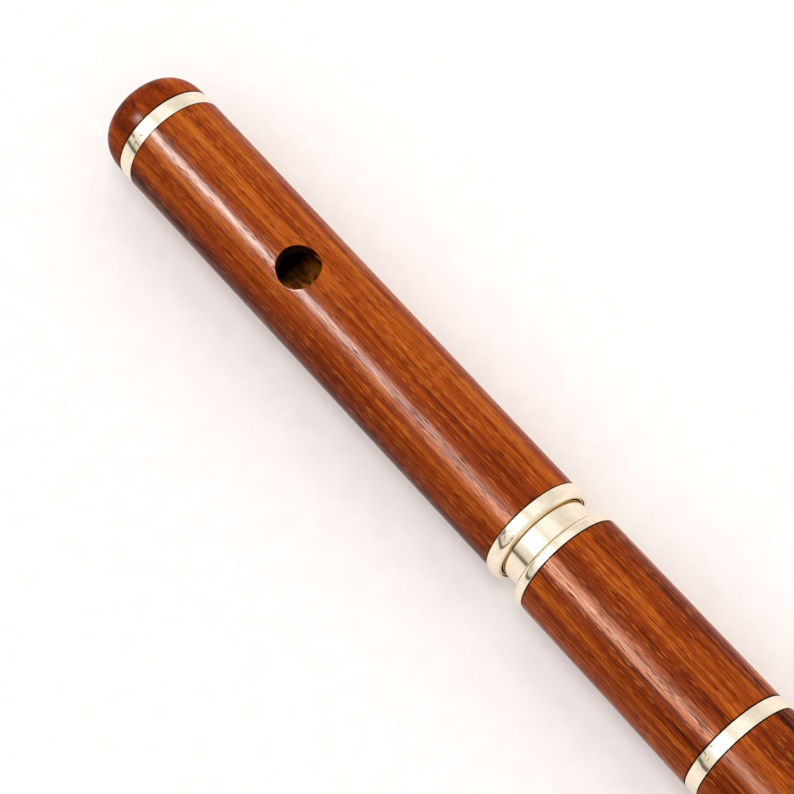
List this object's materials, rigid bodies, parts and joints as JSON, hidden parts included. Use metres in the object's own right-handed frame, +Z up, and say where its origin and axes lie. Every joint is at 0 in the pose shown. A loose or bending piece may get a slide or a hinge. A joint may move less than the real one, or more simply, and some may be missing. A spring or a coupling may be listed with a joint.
{
  "type": "keyless wooden concert flute",
  "caption": "Keyless transverse wooden flute with a pulled-out tuning slide, silver rings, a screw crown with a cork stopper, and a separate foot joint.",
  "frame": {"origin": "middle of the bounding box's bottom face, on the surface that the flute lies on", "axes": "+X along the tube from the crown to the foot, +Z up, the way the embouchure and the finger holes face"},
  "size_m": [0.604, 0.0304, 0.0303],
  "materials": {
    "rosewood": "oiled and polished red-brown rosewood",
    "silver": "polished silver",
    "brass": "polished brass",
    "cork": "natural cork, dry"
  },
  "bodies": {
    "left_hand": {"left_hand_wood": "rosewood", "left_hand_upper_cork": "cork", "left_hand_lower_cork": "cork"},
    "barrel": {"barrel_wood": "rosewood", "barrel_slide_tube": "silver", "barrel_slide_ring": "silver", "barrel_socket_ring": "silver"},
    "head": {"head_wood": "rosewood", "crown_ring": "silver", "head_slide_liner": "brass", "head_slide_ring": "silver"},
    "crown": {"crown_cap": "rosewood", "crown_screw": "brass"},
    "stopper": {"stopper_cork": "cork", "stopper_plate": "silver"},
    "right_hand": {"right_hand_wood": "rosewood", "right_hand_socket_ring": "silver", "right_hand_lower_cork": "cork"},
    "foot": {"foot_wood": "rosewood", "foot_socket_ring": "silver", "foot_end_ring": "silver"}
  },
  "joints": [
    {"name": "barrel_swivel", "type": "hinge", "parent": "left_hand", "child": "barrel", "pos_m": [-0.0727, 0, 0.01515], "axis": [1, 0, 0], "continuous": true},
    {"name": "tuning_slide", "type": "slide", "parent": "barrel", "child": "head", "axis": [-1, 0, 0], "range_m": [-0.006, 0.0335]},
    {"name": "crown_turn", "type": "hinge", "parent": "head", "child": "crown", "pos_m": [-0.29015, 0, 0.01515], "axis": [1, 0, 0], "range_deg": [-1080, 1080]},
    {"name": "stopper_travel", "type": "slide", "parent": "head", "child": "stopper", "axis": [1, 0, 0], "range_m": [-0.003, 0.003]},
    {"name": "right_hand_pull", "type": "slide", "parent": "left_hand", "child": "right_hand", "axis": [1, 0, 0], "range_m": [0, 0.0245]},
    {"name": "foot_swivel", "type": "hinge", "parent": "right_hand", "child": "foot", "pos_m": [0.201, 0, 0.01515], "axis": [1, 0, 0], "continuous": true}
  ],
  "couplings": [
    {"joint": "stopper_travel", "follows": "crown_turn", "m_per_rad": -0.00015915}
  ]
}
